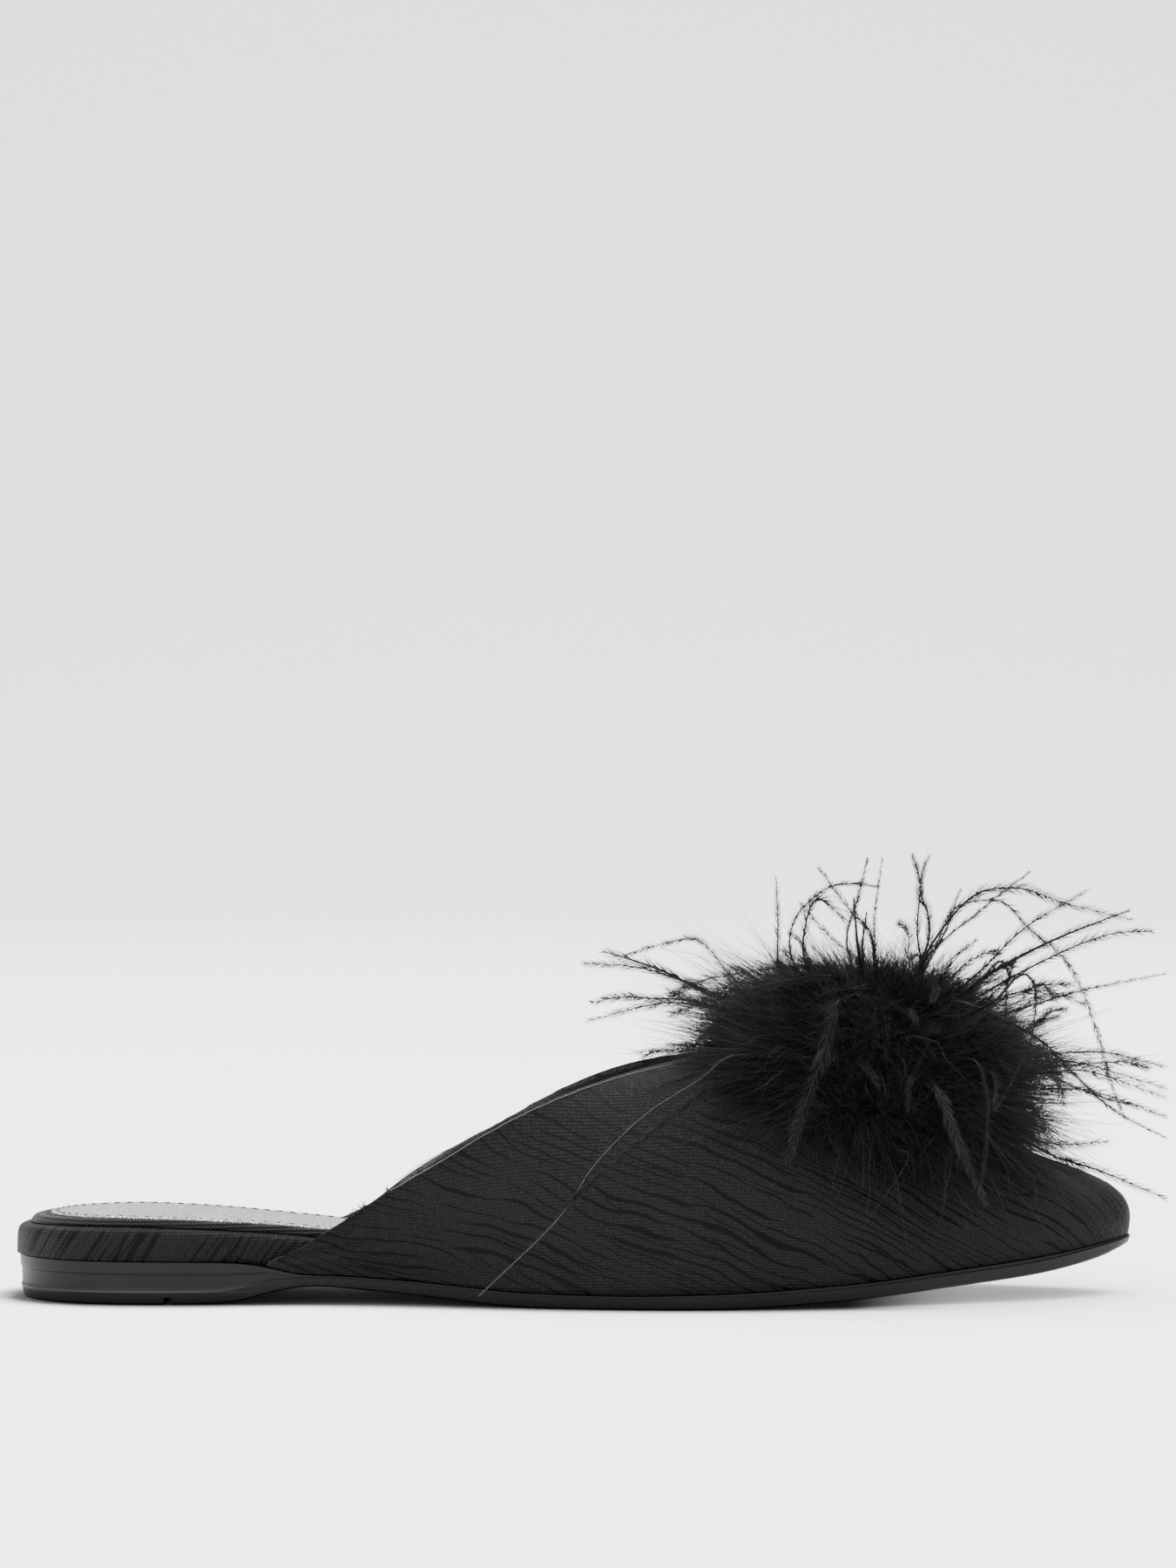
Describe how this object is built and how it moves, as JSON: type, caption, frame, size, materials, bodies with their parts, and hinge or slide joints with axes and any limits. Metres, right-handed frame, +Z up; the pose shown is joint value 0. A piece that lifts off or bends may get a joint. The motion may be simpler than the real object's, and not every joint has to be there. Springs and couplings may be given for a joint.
{
  "type": "marabou slipper",
  "caption": "Flat pointed mule of black patterned fabric with a feather pompom on the vamp, a padded silver insole and a low moulded rubber sole.",
  "frame": {"origin": "middle of the heel's flat underside, on the floor", "axes": "+X towards the toe, +Y towards the inner side of the foot, +Z up"},
  "size_m": [0.2789, 0.1185, 0.1043],
  "materials": {
    "sole_rubber": "matt moulded rubber",
    "jacquard": "fine ribbed jacquard with a wavy figure",
    "ribbon": "woven ribbon",
    "silver_leather": "pebbled metallic leather",
    "feather": "soft down and feather strands"
  },
  "bodies": {
    "root": {"outsole": "sole_rubber", "footbed": "jacquard", "sock_rim": "ribbon", "insole": "silver_leather", "upper": "jacquard", "pompom": "feather"}
  },
  "joints": []
}
